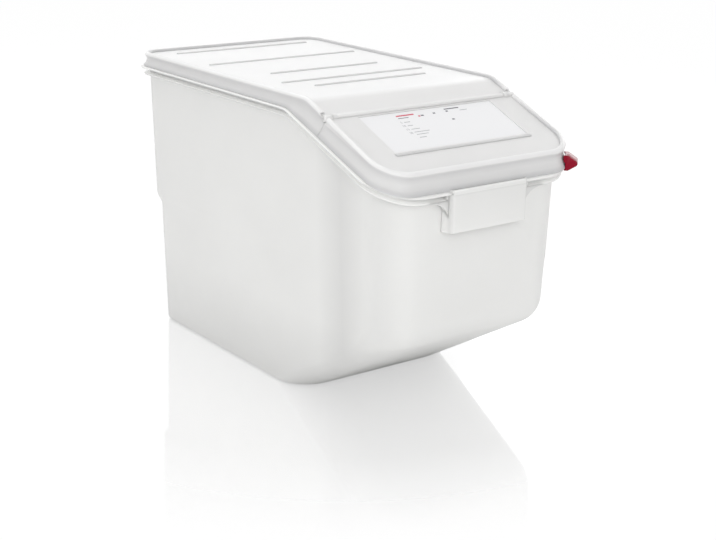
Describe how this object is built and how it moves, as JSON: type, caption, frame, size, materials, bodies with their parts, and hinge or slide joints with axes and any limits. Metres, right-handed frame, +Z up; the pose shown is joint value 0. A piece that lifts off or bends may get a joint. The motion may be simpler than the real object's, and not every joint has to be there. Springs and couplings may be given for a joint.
{
  "type": "storage bin",
  "caption": "Tall rice and dry-goods bin with a slanted toe, a step in its rear wall, a finger grip, and a lid whose front half flips up for scooping.",
  "frame": {"origin": "centre of the flat base, on the surface that the bin stands on", "axes": "+X across to the right, +Y from the front with the flip lid to the rear, +Z up"},
  "size_m": [0.2425, 0.4664, 0.308],
  "materials": {
    "tub": "milky polypropylene, satin",
    "lid": "milky polypropylene, satin",
    "label": "printed film",
    "clip": "gloss red"
  },
  "bodies": {
    "tub": {"tub": "tub"},
    "rear_cover": {"rear_cover": "lid"},
    "flip_lid": {"flip_lid": "lid", "lid_label": "label"},
    "colour_clip": {"colour_clip": "clip"}
  },
  "joints": [
    {"name": "cover_lift", "type": "slide", "parent": "tub", "child": "rear_cover", "axis": [0, 0, 1], "range_m": [0, 0.08]},
    {"name": "flap_hinge", "type": "hinge", "parent": "rear_cover", "child": "flip_lid", "pos_m": [0, -0.20469, 0.29232], "axis": [-1, 0, 0], "range_deg": [0, 125]},
    {"name": "clip_pull", "type": "slide", "parent": "flip_lid", "child": "colour_clip", "axis": [0.6848, -0.6848, -0.2492], "range_m": [0, 0.025]}
  ]
}
